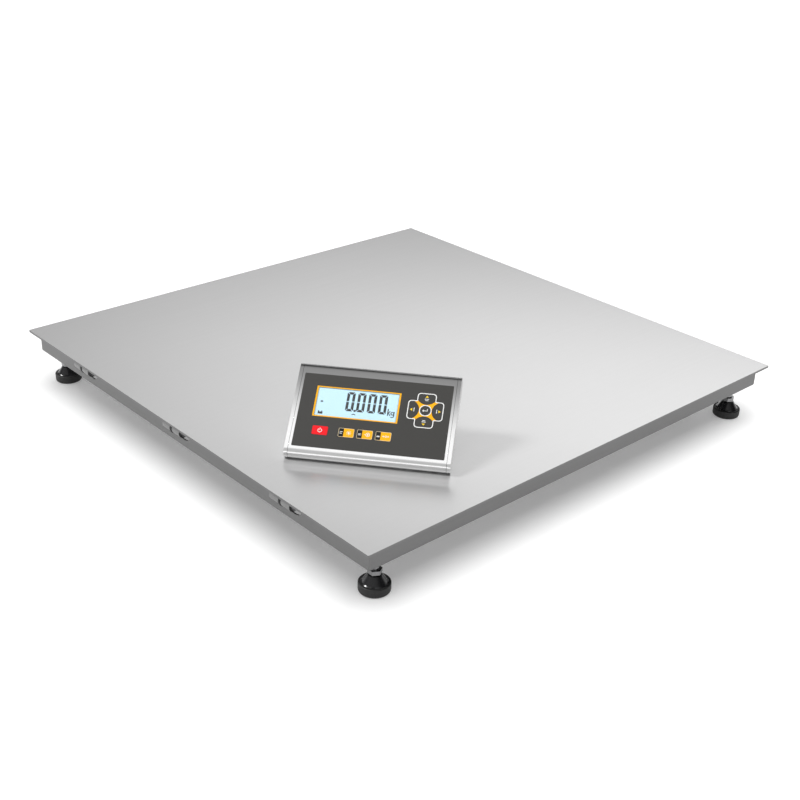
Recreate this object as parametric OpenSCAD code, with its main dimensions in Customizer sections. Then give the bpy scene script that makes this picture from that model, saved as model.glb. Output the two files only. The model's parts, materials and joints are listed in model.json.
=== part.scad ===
// Low floor scale for pallets: a load frame on four levelling feet, a hinged lift deck and a
// desk indicator standing on it. Origin: floor level, centre of the square deck. +Z is up,
// the hinge side faces -Y. All sizes in millimetres.

/* [Deck] */
// Side of the square deck plate
deck_side = 1200; // [1200:10:1300]
// Thickness of the deck plate
deck_t = 5; // [4:0.5:6]
// Height of the deck's top face above the floor
deck_top = 125; // [121:1:130]
// Corner radius of the deck plate
deck_corner_r = 1.5; // [1:0.5:6]

/* [Frame] */
// Distance from the deck's edge to the outer face of the frame
frame_setback = 18.5; // [17:0.5:20]
// Height of the folded rails
rail_h = 44.5; // [43:0.5:46]
// Width of the folded rails
rail_w = 64; // [64:1:68]
// Sheet thickness of the rails
sheet_t = 3; // [2.5:0.5:3.5]
// Outer bend radius of the rails
bend_r = 5; // [4:0.5:6]
// Thickness of the rubber pads between the frame and the deck
pad_t = 2.5; // [2.5:0.5:3]

/* [Feet] */
// Diameter of the rubber foot
foot_d = 60; // [56:1:64]
// Distance from the side edges of the deck to the centre of a foot
foot_inset_x = 52; // [50:0.5:55]
// Distance from the hinge and far edges of the deck to the centre of a foot
foot_inset_y = 62; // [61:0.5:62]
// Diameter of the threaded stud
stud_d = 16; // [12:2:16]

/* [Hinges] */
// Diameter of a hinge barrel
barrel_d = 25; // [22:1:25]
// Diameter of the hinge pin
pin_d = 10; // [8:1:12]
// Distance between the hinge groups
hinge_pitch = 360; // [340:10:370]
// Shift of the middle hinge from the centre of the deck
hinge_shift = -10; // [-10:1:10]

/* [Indicator] */
// Length of the indicator, over the end caps
ind_w = 318; // [314:1:322]
// Thickness of the indicator at its top
ind_top_t = 36; // [34:1:40]
// Lean of the indicator's face from the horizontal
face_tilt = 35; // [33:1:37]
// Turn of the indicator on the deck
ind_yaw = 39.3; // [30:0.1:50]
// Travel of a key
key_travel = 0.4; // [0.3:0.1:0.5]

/* [Hidden] */
$fn = 48;

// Allowances: overlap of joined shapes, length by which a cut runs past a face, running clearance,
// and the gap left under a face that only rests
eps = 0.01;
past = 1;
run_gap = 0.05;
rest_gap = 0.05;

// Levels and outlines of the frame
deck_under = deck_top - deck_t;
rail_top = deck_under - pad_t;
rail_bottom = rail_top - rail_h;
frame_half = deck_side / 2 - frame_setback;
inner_half = frame_half - rail_w;
lip_w = 14;
beam_x = 180;
beam_half = rail_w / 2;

// Stiffeners under the deck
stiffener_xs = [-360, 0, 360];
stiffener_w = 50;
stiffener_h = 25;
stiffener_l = 2 * inner_half - 40;

// Hinges
barrel_r = barrel_d / 2;
pin_r = pin_d / 2;
hinge_y = -frame_half + 2;
hinge_z = deck_under - barrel_r - 1.5;
hinge_xs = [hinge_shift - hinge_pitch, hinge_shift, hinge_shift + hinge_pitch];
frame_barrel = [-38, -10];
deck_barrel = [-4, 22];
washer_span = [-9.8, -4.2];
washer_r = barrel_r + 1;
notch_x = 32;
notch_r = 13;
notch_depth = barrel_r + 1.5;
notch_drop = washer_r + 0.5;
leaf_t = 10;
pin_head_r = 8;
pin_head_t = 3;
pin_head_x = deck_barrel[1] + 1;

// Feet
foot_r = foot_d / 2;
foot_c = [deck_side / 2 - foot_inset_x, deck_side / 2 - foot_inset_y];
foot_signs = [[-1, -1], [1, -1], [-1, 1], [1, 1]];
stud_r = stud_d / 2;
ball_z = 28;
ball_r = 7;
neck_r = 5;
hex_af = 24;
hex_z = [38, 46];
seat_gap = 0.3;
seat_r_in = ball_r + seat_gap;
seat_r_out = 9;
seat_cut = 3;
socket_r = seat_r_out + seat_gap;
socket_mouth_r = 8;
base_h = 19;
base_low_r = 5;
base_top_r = 2;
cup_r = foot_r - 5;
cup_z = 14;
cup_shoulder = [foot_r - 7, 20.5];
cup_neck = [14.5, 33];
cup_top = [13, 35];

// Load cells
cell_l = 130;
cell_w = 32;
cell_h = 32;
cell_end = 16;
cell_screw_x = 76.2;
screw_pitch = 25.4;
seat_plate_t = 6;
seat_margin = 34;
seat_w = 30;
cell_top = rail_top - sheet_t - seat_plate_t;
cell_z = cell_top - cell_h;
stud_top = cell_top - 2.5;
cell_inner_x = foot_c[0] + cell_end - cell_l;
gauge_r = 11;
gauge_depth = 8;
csk_r = 12;
screw_r = csk_r / 2;
screw_end = 2;
hex_socket_r = 4.6;
hex_socket_depth = 4;
nut_af = 24;
nut_t = 8;

// Rubber rests
rest_l = 80;
rest_w = 25;
rest_corner_x = 532;
rest_y = foot_c[1] + 3;
rest_x = frame_half - rail_w / 2;
rest_ys = [-300, 0, 300];

// Junction box
jbox_x = 252;
jbox_w = 80;
jbox_l = 150;
jbox_h = 32;
jbox_z = rail_top - sheet_t - jbox_h - 2;
jbox_wall = 2;
jbox_top = jbox_z + jbox_h;
lid_t = 2;
post_r = 4.5;
post_inset = 7;
pilot_r = 1.6;
pilot_depth = 14;
lid_hole_r = 2;
lid_screw_r = 1.55;
lid_screw_l = 12;
lid_head = [3.2, 1.8];
lid_slot = [4.8, 0.8, 0.6];
tab_inset = 20;
board_z = jbox_z + 22;
board_t = 1.6;
board_size = [jbox_w - 14, jbox_l - 40];
board_post_r = 3;
board_post = [30, 45];
block_size = [50, 10, 9];
block_y = 40;
block_hole_r = 1.8;
block_hole_depth = 4;
block_pitch = 8;

// Cables and their glands
cable_d = 5;
cable_z = cell_z + cell_h / 2;
bend_run = 15;
bend_steps = 5;
route_ys = [jbox_l / 2 + 90, jbox_l / 2 + 50, jbox_l / 2 + 12];
clip_ys = [-430, -330, -220];
clip_w = 10;
clip_t = 3;
clip_bite = 0.5;
clip_end = 6;
gland_z = jbox_z + jbox_h / 2;
gland_xs = [jbox_x - 18, jbox_x + 18];
gland_r = 7.9;
big_gland_r = 9.9;
big_bore_r = 3;
gland_hex_h = 5;
gland_dome_z = 14;
gland_end_z = 17;
gland_thread_l = 6;
gland_step = 2;
outlet_x = 300;

// Indicator: the overlay's lower edge is the local origin, y runs up the face and z out of it
ind_x = 369;
ind_y = -404.5;
ind_lift = 28;
overlay_w = 292;
overlay_h = 159;
overlay_t = 1.2;
overlay_r = 1.8;
overlay_fit = 0.4;
face_h = overlay_h + 27;
shell_t = 2;
frame_band = 7;
cap_t = 7;
cap_seal_t = 0.6;
cap_seal_inset = 0.4;
sleeve_half = ind_w / 2 - cap_t - cap_seal_t;
back_low = [22.6, -50];
back_top = [face_h, -ind_top_t];
back_tilt = atan2(back_top[1] - back_low[1], back_top[0] - back_low[0]);
back_angle = face_tilt + back_tilt;
nose_y = -ind_lift / sin(face_tilt);

// Height of a point of the side profile above the deck, and where the line a-b meets the deck
function base_height(p) = ind_lift + p[0] * sin(face_tilt) + p[1] * cos(face_tilt);
function base_corner(a, b) = a + (b - a) * (-base_height(a) / (base_height(b) - base_height(a)));

base_back = base_corner(back_low, back_top);
base_depth = base_back[0] * cos(face_tilt) - base_back[1] * sin(face_tilt);
back_span = norm(back_top - base_back);
profile_corners = [[face_h, 0], [nose_y, 0], base_back, back_top];
profile_radii = [16, 14, 8, 14];
arc_steps = 12;

// Back of the indicator
seam = 0.02;
cover_t = 1.5;
cover_w = 270;
cover_inset = 10;
opening_w = 250;
opening_inset = 26;
rear_screw_xs = [-128, 0, 128];
rear_screw_inset = 16;
rear_screw_r = 2;
rear_screw_l = 5;
rear_head = [3.5, 2];
rear_slot = [5.2, 0.9, 0.8];
socket_xs = [-105, 105];
socket_y = 118;
socket_hole_r = 6;
socket_bore_r = 2.5;

// Stand behind the indicator
stand_t = 2;
stand_w = 160;
stand_leg_y = 78;
stand_foot_l = 22;
stand_flange_y = 62;

// Display, electronics and keys
window_c = [-35, 100];
window_size = [165, 66];
lcd_margin = 4;
lcd_top = -overlay_t - 0.2;
board_top = -6.2;
main_board_size = [overlay_w - 2, overlay_h - 2];
spacer_r = 2.5;
spacer_inset = 4;
battery_c = [0, 90];
battery_size = [100, 60];
battery_z = [-30, board_top - board_t];
battery_r = 3;
key_size = [30, 18.5];
key_r = 2.5;
key_row_y = 37;
key_xs = [-97, -46, -10.4, 25.2];
nav_c = [97.4, 100.5];
enter_r = 9.6;
lobe_r = 6;
tall_lobe = [16.2, 13, 35.3, 20];
wide_lobe = [18.2, 12.6, 32.4, 21];
key_t = 2;
key_gap = 0.3;
KEYS = ["power", "function_1", "function_2", "function_3", "up", "down", "left", "right", "enter"];

// ---- helpers ----

function unit(v) = v / norm(v);
function at(list, i) = list[(i + len(list)) % len(list)];

// Centre of the rounding at corner i of an outline
function corner_centre(p, r, i) =
  let(a = unit(at(p, i - 1) - at(p, i)), b = unit(at(p, i + 1) - at(p, i)))
  let(half = acos(a * b) / 2)
  at(p, i) + unit(a + b) * at(r, i) / sin(half);

// Points along the rounding at corner i, from one tangent point to the other, moved in by inset
function corner_arc(p, r, i, inset) =
  let(c = corner_centre(p, r, i), out = at(p, i))
  let(a = unit(at(p, i - 1) - out), b = unit(at(p, i + 1) - out))
  let(na = unit(out + a * ((c - out) * a) - c), nb = unit(out + b * ((c - out) * b) - c))
  let(turn = acos(na * nb))
  [for (k = [0 : arc_steps]) let(t = k / arc_steps)
    c + (r[i] - inset) * (sin((1 - t) * turn) * na + sin(t * turn) * nb) / sin(turn)];

module rounded_outline(p, r, inset) {
  polygon([for (i = [0 : len(p) - 1]) each corner_arc(p, r, i, inset)]);
}

module rounded_square(w, h, r) {
  translate([r - w / 2, -h / 2]) square([w - 2 * r, h]);
  translate([-w / 2, r - h / 2]) square([w, h - 2 * r]);
  for (x = [-1, 1], y = [-1, 1])
    translate([x * (w / 2 - r), y * (h / 2 - r)]) circle(r = r);
}

module centred_box(w, l, z0, z1) {
  translate([-w / 2, -l / 2, z0]) cube([w, l, z1 - z0]);
}

module x_cylinder(x0, x1, r) {
  translate([x0, 0, 0]) rotate([0, 90, 0]) cylinder(h = x1 - x0, r = r);
}

module z_cylinder(z0, z1, r) {
  translate([0, 0, z0]) cylinder(h = z1 - z0, r = r);
}

// Hexagonal prism of that width across its flats
module hexagon(z0, z1, across) {
  translate([0, 0, z0]) cylinder(h = z1 - z0, r = across / sqrt(3), $fn = 6);
}

module at_foot(s) {
  translate([s[0] * foot_c[0], s[1] * foot_c[1], 0]) children();
}

module at_feet() {
  for (s = foot_signs) at_foot(s) mirror([s[0] > 0 ? 1 : 0, 0, 0]) children();
}

module at_hinges() {
  for (x = hinge_xs) translate([x, hinge_y, hinge_z]) children();
}

// ---- frame ----

// Section of a rail: outer web on the left, open below, with a return lip under the web
module rail_section() {
  difference() {
    union() {
      translate([rail_w / 2, rail_h / 2]) rounded_square(rail_w, rail_h, bend_r);
      translate([rail_w - bend_r, 0]) square(bend_r);
    }
    translate([rail_w / 2, rail_h / 2])
      rounded_square(rail_w - 2 * sheet_t, rail_h - 2 * sheet_t, bend_r - sheet_t);
    translate([lip_w, -eps]) square([rail_w - lip_w - sheet_t, sheet_t + bend_r]);
  }
}

// Folded rail along X with its outer face towards -Y and mitred ends
module rail() {
  intersection() {
    translate([-frame_half, -frame_half, rail_bottom])
      rotate([90, 0, 90]) linear_extrude(2 * frame_half) rail_section();
    translate([0, 0, rail_bottom - past]) linear_extrude(rail_h + 2 * past)
      polygon([[-frame_half, -frame_half], [frame_half, -frame_half],
               [inner_half, -inner_half], [-inner_half, -inner_half]]);
  }
}

// Countersunk holes over the two load cells of a rail
module cell_screw_places() {
  for (s = [-1, 1], k = [0, 1])
    translate([s * (foot_c[0] - cell_screw_x - k * screw_pitch), -foot_c[1], 0]) children();
}

module countersink(clear) {
  translate([0, 0, rail_top - screw_r])
    cylinder(h = screw_r + eps, r1 = screw_r + clear, r2 = csk_r + clear);
  z_cylinder(cell_z, rail_top - screw_r + eps, screw_r + clear);
}

// Room for the barrels, with a half-round notch beside each hinge
module hinge_cutouts() {
  up = barrel_r + pad_t;
  at_hinges() {
    x_cylinder(frame_barrel[0] - eps, frame_barrel[1] + eps, barrel_r + run_gap);
    translate([frame_barrel[1], -barrel_r, -notch_drop])
      cube([notch_x - frame_barrel[1], barrel_r + notch_depth, notch_drop + up]);
    translate([notch_x, -barrel_r, 0]) rotate([-90, 0, 0])
      cylinder(h = barrel_r + notch_depth, r = notch_r);
    translate([notch_x - notch_r, -barrel_r, 0])
      cube([2 * notch_r, barrel_r + notch_depth, up]);
  }
}

module cable_ports() {
  for (x = gland_xs) translate([x, -inner_half, cable_z])
    rotate([-90, 0, 0]) z_cylinder(-sheet_t - past, past, cable_d / 2 + 1);
}

module hinge_rail() {
  color("silver") difference() {
    rail();
    hinge_cutouts();
    cell_screw_places() countersink(seat_gap);
    cable_ports();
  }
}

module far_rail() {
  color("silver") difference() {
    rotate([0, 0, 180]) rail();
    rotate([0, 0, 180]) cell_screw_places() countersink(seat_gap);
    mirror([0, 1, 0]) cable_ports();
    translate([outlet_x, frame_half, gland_z])
      rotate([-90, 0, 0]) z_cylinder(-sheet_t - past, past, big_gland_r - gland_step + run_gap);
  }
}

module left_rail() {
  color("silver") rotate([0, 0, -90]) rail();
}

module right_rail() {
  color("silver") rotate([0, 0, 90]) rail();
}

// Two beams across the opening, open below
module cross_beams() {
  color("silver") for (x = [-beam_x, beam_x]) translate([x, 0, 0]) difference() {
    centred_box(rail_w, 2 * inner_half, rail_bottom, rail_top);
    centred_box(rail_w - 2 * sheet_t, 2 * inner_half + past, rail_bottom - past, rail_top - sheet_t);
  }
}

// ---- load cells ----

module load_cell_seats() {
  seat_x = foot_c[0] - cell_screw_x - screw_pitch / 2;
  color("gray") for (s = [0, 180]) rotate([0, 0, s]) difference() {
    for (x = [-seat_x, seat_x])
      translate([x, -foot_c[1], 0])
        centred_box(screw_pitch + seat_margin, seat_w, cell_top, cell_top + seat_plate_t);
    cell_screw_places() countersink(run_gap);
  }
}

module load_cells() {
  color("gainsboro") at_feet() difference() {
    translate([-cell_end, -cell_w / 2, cell_z]) cube([cell_l, cell_w, cell_h]);
    z_cylinder(cell_z - past, cell_top + past, stud_r + run_gap);
    for (k = [0, 1]) translate([cell_screw_x + k * screw_pitch, 0, 0])
      z_cylinder(cell_z - past, cell_top + past, screw_r + run_gap);
    for (s = [0, 180]) translate([cell_screw_x / 2, 0, cable_z]) rotate([90, 0, s])
      z_cylinder(cell_w / 2 - gauge_depth, cell_w / 2 + past, gauge_r);
  }
}

module load_cell_screws() {
  color("dimgray") for (s = [0, 180]) rotate([0, 0, s]) cell_screw_places() difference() {
    union() {
      translate([0, 0, rail_top - screw_r]) cylinder(h = screw_r, r1 = screw_r, r2 = csk_r);
      z_cylinder(cell_z + screw_end, rail_top - screw_r + eps, screw_r);
    }
    translate([0, 0, rail_top - hex_socket_depth])
      cylinder(h = hex_socket_depth + past, r = hex_socket_r, $fn = 6);
  }
}

module foot_lock_nuts() {
  color("lightgray") at_feet() difference() {
    hexagon(cell_z - nut_t, cell_z, nut_af);
    z_cylinder(cell_z - nut_t - past, cell_z + past, stud_r + run_gap);
  }
}

// ---- cables ----

// Points on a smooth bend round corner b, starting and ending a distance r from it
function bend(a, b, c, r) =
  let(p = b + unit(a - b) * r, q = b + unit(c - b) * r)
  [for (i = [0 : bend_steps]) let(t = i / bend_steps)
    (1 - t) * (1 - t) * p + 2 * t * (1 - t) * b + t * t * q];

function smooth_path(p, r) =
  [p[0], for (i = [1 : len(p) - 2]) each bend(p[i - 1], p[i], p[i + 1], r), p[len(p) - 1]];

function tangent(p, i) = unit(p[min(i + 1, len(p) - 1)] - p[max(i - 1, 0)]);

function ring(c, t, r, sides) =
  let(side = unit(cross(t, [0, 0, 1])), up = cross(side, t))
  [for (k = [0 : sides - 1]) c + r * (cos(360 * k / sides) * side + sin(360 * k / sides) * up)];

// Round tube along a level path
module tube(p, r, sides) {
  n = len(p);
  points = [for (i = [0 : n - 1]) each ring(p[i], tangent(p, i), r, sides)];
  walls = [for (i = [0 : n - 2], k = [0 : sides - 1])
    let(a = i * sides + k, b = i * sides + (k + 1) % sides) [a, b, b + sides, a + sides]];
  first = [for (k = [sides - 1 : -1 : 0]) k];
  last = [for (k = [0 : sides - 1]) (n - 1) * sides + k];
  polyhedron(points, concat([first], walls, [last]));
}

// Route from a load cell through the rail, along the cross beam and into the junction box
function cable_route(from_x, to_x) = [
  [from_x, -foot_c[1], cable_z],
  [to_x, -foot_c[1], cable_z],
  [to_x, -route_ys[0], cable_z],
  [to_x, -route_ys[1], cable_z],
  [to_x, -route_ys[2], cable_z]
];

module load_cell_cables() {
  color("dimgray") for (m = [0, 1]) mirror([0, m, 0]) {
    tube(smooth_path(cable_route(-cell_inner_x, gland_xs[0]), bend_run), cable_d / 2, 8);
    tube(smooth_path(cable_route(cell_inner_x, gland_xs[1]), bend_run), cable_d / 2, 8);
  }
}

// Saddles on a strap from the beam hold the two cables of each side
module cable_clips() {
  strap_x = beam_x + beam_half;
  color("white") for (m = [0, 1], y = clip_ys) mirror([0, m, 0]) translate([0, y, 0])
    difference() {
      translate([strap_x, -clip_w / 2, cable_z + cable_d / 2 - clip_bite])
        cube([gland_xs[1] - strap_x + clip_end, clip_w, clip_t]);
      for (x = gland_xs) translate([x, 0, cable_z]) rotate([-90, 0, 0])
        z_cylinder(-clip_w / 2 - past, clip_w / 2 + past, cable_d / 2 + run_gap);
    }
}

// ---- junction box ----

module jbox_gland_places() {
  for (x = gland_xs, m = [0, 1]) mirror([0, m, 0])
    translate([x, -jbox_l / 2, cable_z]) rotate([90, 0, 0]) children();
}

module jbox_screw_places() {
  for (x = [-1, 1], y = [-1, 1])
    translate([jbox_x + x * (jbox_w / 2 - post_inset), y * (jbox_l / 2 - post_inset), 0]) children();
}

module junction_box() {
  tab_x = beam_x + beam_half;
  color("silver") {
    difference() {
      translate([jbox_x, 0, 0]) centred_box(jbox_w, jbox_l, jbox_z, jbox_top);
      translate([jbox_x, 0, 0])
        centred_box(jbox_w - 2 * jbox_wall, jbox_l - 2 * jbox_wall, jbox_z - past, jbox_top - jbox_wall);
      jbox_gland_places() z_cylinder(-jbox_wall - past, past, gland_r - gland_step + run_gap);
      translate([jbox_x + jbox_w / 2, 0, gland_z]) rotate([0, 90, 0])
        z_cylinder(-jbox_wall - past, past, big_gland_r - gland_step + run_gap);
    }
    jbox_screw_places() difference() {
      z_cylinder(jbox_z, jbox_top - jbox_wall + eps, post_r);
      z_cylinder(jbox_z - past, jbox_z + pilot_depth, pilot_r);
    }
    translate([tab_x, tab_inset - jbox_l / 2, jbox_top - jbox_wall])
      cube([jbox_x - jbox_w / 2 - tab_x + eps, jbox_l - 2 * tab_inset, jbox_wall]);
  }
}

module junction_box_lid() {
  color("silver") difference() {
    translate([jbox_x, 0, 0]) centred_box(jbox_w, jbox_l, jbox_z - lid_t, jbox_z);
    jbox_screw_places() z_cylinder(jbox_z - lid_t - past, jbox_z + past, lid_hole_r);
  }
}

// Slotted pan head below z = 0, of that [radius, height], with a slot of [length, width, depth]
module slotted_head(head, slot) {
  difference() {
    z_cylinder(-head[1], 0, head[0]);
    centred_box(slot[0], slot[1], -head[1] - past, -head[1] + slot[2]);
  }
}

module junction_box_screws() {
  color("dimgray") jbox_screw_places() translate([0, 0, jbox_z - lid_t]) {
    slotted_head(lid_head, lid_slot);
    z_cylinder(-eps, lid_screw_l, lid_screw_r);
  }
}

// Board on two posts, with two terminal blocks facing down
module junction_board() {
  color("darkgreen") translate([jbox_x, 0, 0]) difference() {
    union() {
      centred_box(board_size[0], board_size[1], board_z, board_z + board_t);
      for (y = [-block_y, block_y]) translate([0, y, 0])
        centred_box(block_size[0], block_size[1], board_z - block_size[2], board_z + eps);
      for (y = [-1, 1]) translate([-board_post[0] + board_post_r, y * board_post[1], 0])
        z_cylinder(board_z + eps, jbox_top - jbox_wall, board_post_r);
    }
    for (x = [-20 : block_pitch : 20], y = [-block_y, block_y]) translate([x, y, 0])
      z_cylinder(board_z - block_size[2] - past, board_z - block_size[2] + block_hole_depth, block_hole_r);
  }
}

// Gland pointing along +z, with its nut on the wall at z = 0
module gland(bore_r, body_r) {
  difference() {
    union() {
      cylinder(h = gland_hex_h, r = body_r * 1.35, $fn = 6);
      z_cylinder(gland_hex_h - eps, gland_dome_z, body_r);
      translate([0, 0, gland_dome_z - eps])
        cylinder(h = gland_end_z - gland_dome_z, r1 = body_r, r2 = bore_r + 1.5);
      z_cylinder(-gland_thread_l, eps, body_r - gland_step);
    }
    z_cylinder(-gland_thread_l - past, gland_end_z + past, bore_r);
  }
}

module cable_glands() {
  color("black") {
    jbox_gland_places() gland(cable_d / 2 + run_gap, gland_r);
    translate([jbox_x + jbox_w / 2, 0, gland_z]) rotate([0, 90, 0]) gland(big_bore_r, big_gland_r);
    translate([outlet_x, frame_half, gland_z]) rotate([-90, 0, 0]) gland(big_bore_r, big_gland_r);
  }
}

// ---- hinges and rests ----

module frame_knuckles() {
  color("silver") at_hinges() difference() {
    x_cylinder(frame_barrel[0], frame_barrel[1], barrel_r);
    x_cylinder(frame_barrel[0] - past, frame_barrel[1] + past, pin_r + run_gap);
  }
}

module hinge_pins() {
  color("lightgray") at_hinges() {
    x_cylinder(frame_barrel[0], pin_head_x + eps, pin_r);
    x_cylinder(pin_head_x, pin_head_x + pin_head_t, pin_head_r);
  }
}

module hinge_washers() {
  color("black") at_hinges() difference() {
    x_cylinder(washer_span[0], washer_span[1], washer_r);
    x_cylinder(washer_span[0] - past, washer_span[1] + past, pin_r + run_gap);
  }
}

module deck_pads() {
  color("black") {
    for (y = [-rest_y, rest_y], x = [-rest_corner_x, -beam_x, beam_x, rest_corner_x])
      translate([x, y, 0]) centred_box(rest_l, rest_w, rail_top, deck_under);
    for (x = [-rest_x, -beam_x, beam_x, rest_x], y = rest_ys)
      translate([x, y, 0]) centred_box(rest_w, rest_l, rail_top, deck_under);
  }
}

// ---- deck ----

module deck_plate() {
  color("lightsteelblue") translate([0, 0, deck_under]) linear_extrude(deck_t)
    rounded_square(deck_side, deck_side, deck_corner_r);
}

module deck_stiffeners() {
  low = deck_under - stiffener_h;
  color("gray") for (x = stiffener_xs) translate([x, 0, 0]) difference() {
    centred_box(stiffener_w, stiffener_l, low, deck_under);
    centred_box(stiffener_w - 2 * sheet_t, stiffener_l + past, low + sheet_t, deck_under + past);
  }
}

module deck_knuckles() {
  color("silver") at_hinges() difference() {
    union() {
      x_cylinder(deck_barrel[0], deck_barrel[1], barrel_r);
      translate([deck_barrel[0], -leaf_t / 2, 0])
        cube([deck_barrel[1] - deck_barrel[0], leaf_t, deck_under - hinge_z]);
    }
    x_cylinder(deck_barrel[0] - past, deck_barrel[1] + past, pin_r + run_gap);
  }
}

// ---- feet ----

module foot_stud(s) {
  color("silver") at_foot(s) {
    translate([0, 0, ball_z]) sphere(r = ball_r);
    z_cylinder(ball_z + seat_cut, hex_z[0] + eps, neck_r);
    hexagon(hex_z[0], hex_z[1], hex_af);
    z_cylinder(hex_z[1] - eps, stud_top, stud_r);
  }
}

module foot_seat(s) {
  color("ivory") at_foot(s) translate([0, 0, ball_z]) difference() {
    sphere(r = seat_r_out);
    sphere(r = seat_r_in);
    z_cylinder(seat_cut, seat_r_out + past, seat_r_out + past);
    z_cylinder(-seat_r_out - past, 0, seat_cut);
  }
}

module foot_cup(s) {
  color("dimgray") at_foot(s) difference() {
    rotate_extrude()
      polygon([[0, cup_z], [cup_r - run_gap, cup_z], [cup_r - run_gap, base_h],
               cup_shoulder, cup_neck, cup_top, [0, cup_top[1]]]);
    translate([0, 0, ball_z]) sphere(r = socket_r);
    z_cylinder(ball_z, cup_top[1] + past, socket_mouth_r);
  }
}

module foot_base(s) {
  color("black") at_foot(s) difference() {
    rotate_extrude() {
      square([foot_r - base_low_r, base_h]);
      translate([0, base_low_r]) square([foot_r, base_h - base_low_r - base_top_r]);
      translate([0, base_low_r]) square([foot_r - base_top_r, base_h - base_low_r]);
      translate([foot_r - base_low_r, base_low_r]) circle(r = base_low_r);
      translate([foot_r - base_top_r, base_h - base_top_r]) circle(r = base_top_r);
    }
    z_cylinder(cup_z, base_h + past, cup_r);
  }
}

// ---- indicator ----

// Places children on the deck behind the face's lower edge: x is the width, y the depth
module in_base() {
  translate([ind_x, ind_y, deck_top + rest_gap]) rotate([0, 0, ind_yaw]) children();
}

// Places children in the frame of the face
module in_face() {
  in_base() translate([0, 0, ind_lift]) rotate([face_tilt, 0, 0]) children();
}

// Places children on the back: y runs up it from its lower edge and -z points out of it
module on_back() {
  in_face() translate([0, base_back[0], base_back[1]]) rotate([back_tilt, 0, 0]) children();
}

module along_x(x0, x1) {
  translate([x0, 0, 0]) rotate([90, 0, 90]) linear_extrude(x1 - x0) children();
}

module face_sheet(z0, z1) {
  translate([0, 0, z0]) linear_extrude(z1 - z0) children();
}

module rear_screw_places() {
  for (x = rear_screw_xs, y = [rear_screw_inset, back_span - rear_screw_inset])
    translate([x, y, 0]) children();
}

module indicator_housing() {
  color("silver") difference() {
    in_face() along_x(-sleeve_half, sleeve_half) rounded_outline(profile_corners, profile_radii, 0);
    in_face() along_x(-sleeve_half - past, sleeve_half + past)
      rounded_outline(profile_corners, profile_radii, shell_t);
    in_face() face_sheet(-overlay_t - rest_gap, past) translate([0, overlay_h / 2])
      rounded_square(overlay_w + overlay_fit, overlay_h + overlay_fit, 2);
    in_face() face_sheet(-shell_t - past, past) translate([0, overlay_h / 2])
      rounded_square(overlay_w - 2 * frame_band, overlay_h - 2 * frame_band, 3);
    on_back() translate([-opening_w / 2, opening_inset, -past])
      cube([opening_w, back_span - 2 * opening_inset, shell_t + 2 * past]);
    on_back() rear_screw_places() z_cylinder(-past, shell_t + past, rear_screw_r + run_gap);
  }
}

module end_caps() {
  inner = sleeve_half + cap_seal_t;
  color("gainsboro") for (s = [0, 1]) in_face() mirror([s, 0, 0])
    along_x(inner, inner + cap_t) rounded_outline(profile_corners, profile_radii, 0);
}

module end_cap_seals() {
  color("black") for (s = [0, 1]) in_face() mirror([s, 0, 0])
    along_x(sleeve_half, sleeve_half + cap_seal_t)
      rounded_outline(profile_corners, profile_radii, cap_seal_inset);
}

module rear_cover() {
  low = -seam - cover_t;
  color("silver") on_back() difference() {
    translate([-cover_w / 2, cover_inset, low]) cube([cover_w, back_span - 2 * cover_inset, cover_t]);
    for (x = socket_xs) translate([x, socket_y, 0]) z_cylinder(low - past, past, socket_hole_r);
    rear_screw_places() z_cylinder(low - past, past, rear_screw_r + run_gap);
  }
}

module rear_screws() {
  color("dimgray") on_back() rear_screw_places() translate([0, 0, -seam - cover_t]) {
    slotted_head(rear_head, rear_slot);
    z_cylinder(-eps, rear_screw_l + cover_t, rear_screw_r);
  }
}

module cable_sockets() {
  color("black") on_back() for (x = socket_xs) translate([x, socket_y, -seam - cover_t])
    mirror([0, 0, 1]) gland(socket_bore_r, gland_r);
}

// Folded stand: a foot on the deck, an upright leg and a flange under the back
module indicator_stand() {
  along = [cos(back_angle), sin(back_angle)];
  out = [sin(back_angle), -cos(back_angle)];
  near = 2 * seam + cover_t;
  far = near + stand_t;
  leg_back = stand_leg_y + stand_t;
  color("silver") in_base() translate([0, base_depth, 0]) along_x(-stand_w / 2, stand_w / 2)
    polygon([
      [stand_leg_y + stand_foot_l, 0],
      [stand_leg_y, 0],
      [stand_leg_y, stand_leg_y * tan(back_angle) - far / cos(back_angle)],
      stand_flange_y * along + far * out,
      stand_flange_y * along + near * out,
      [leg_back, leg_back * tan(back_angle) - near / cos(back_angle)],
      [leg_back, stand_t],
      [stand_leg_y + stand_foot_l, stand_t]
    ]);
}

// Lens-shaped lobe of the navigation pad, pointing up: [half width, low, high, bulge radius]
module lobe(size, grow) {
  low = size[1] - grow;
  high = size[2] + grow;
  bulge_r = size[3] + grow;
  intersection() {
    translate([0, (low + high) / 2]) rounded_square(2 * (size[0] + grow), high - low, lobe_r + grow);
    translate([0, low + bulge_r]) circle(r = bulge_r);
  }
}

// Outline of a key on the face, larger all round by grow
module key_outline(name, grow) {
  for (i = [0 : len(key_xs) - 1]) if (name == KEYS[i]) translate([key_xs[i], key_row_y])
    rounded_square(key_size[0] + 2 * grow, key_size[1] + 2 * grow, key_r + grow);
  if (name == "up") translate(nav_c) lobe(tall_lobe, grow);
  if (name == "down") translate(nav_c) rotate(180) lobe(tall_lobe, grow);
  if (name == "left") translate(nav_c) rotate(90) lobe(wide_lobe, grow);
  if (name == "right") translate(nav_c) rotate(-90) lobe(wide_lobe, grow);
  if (name == "enter") translate(nav_c) circle(r = enter_r + grow);
}

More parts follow.
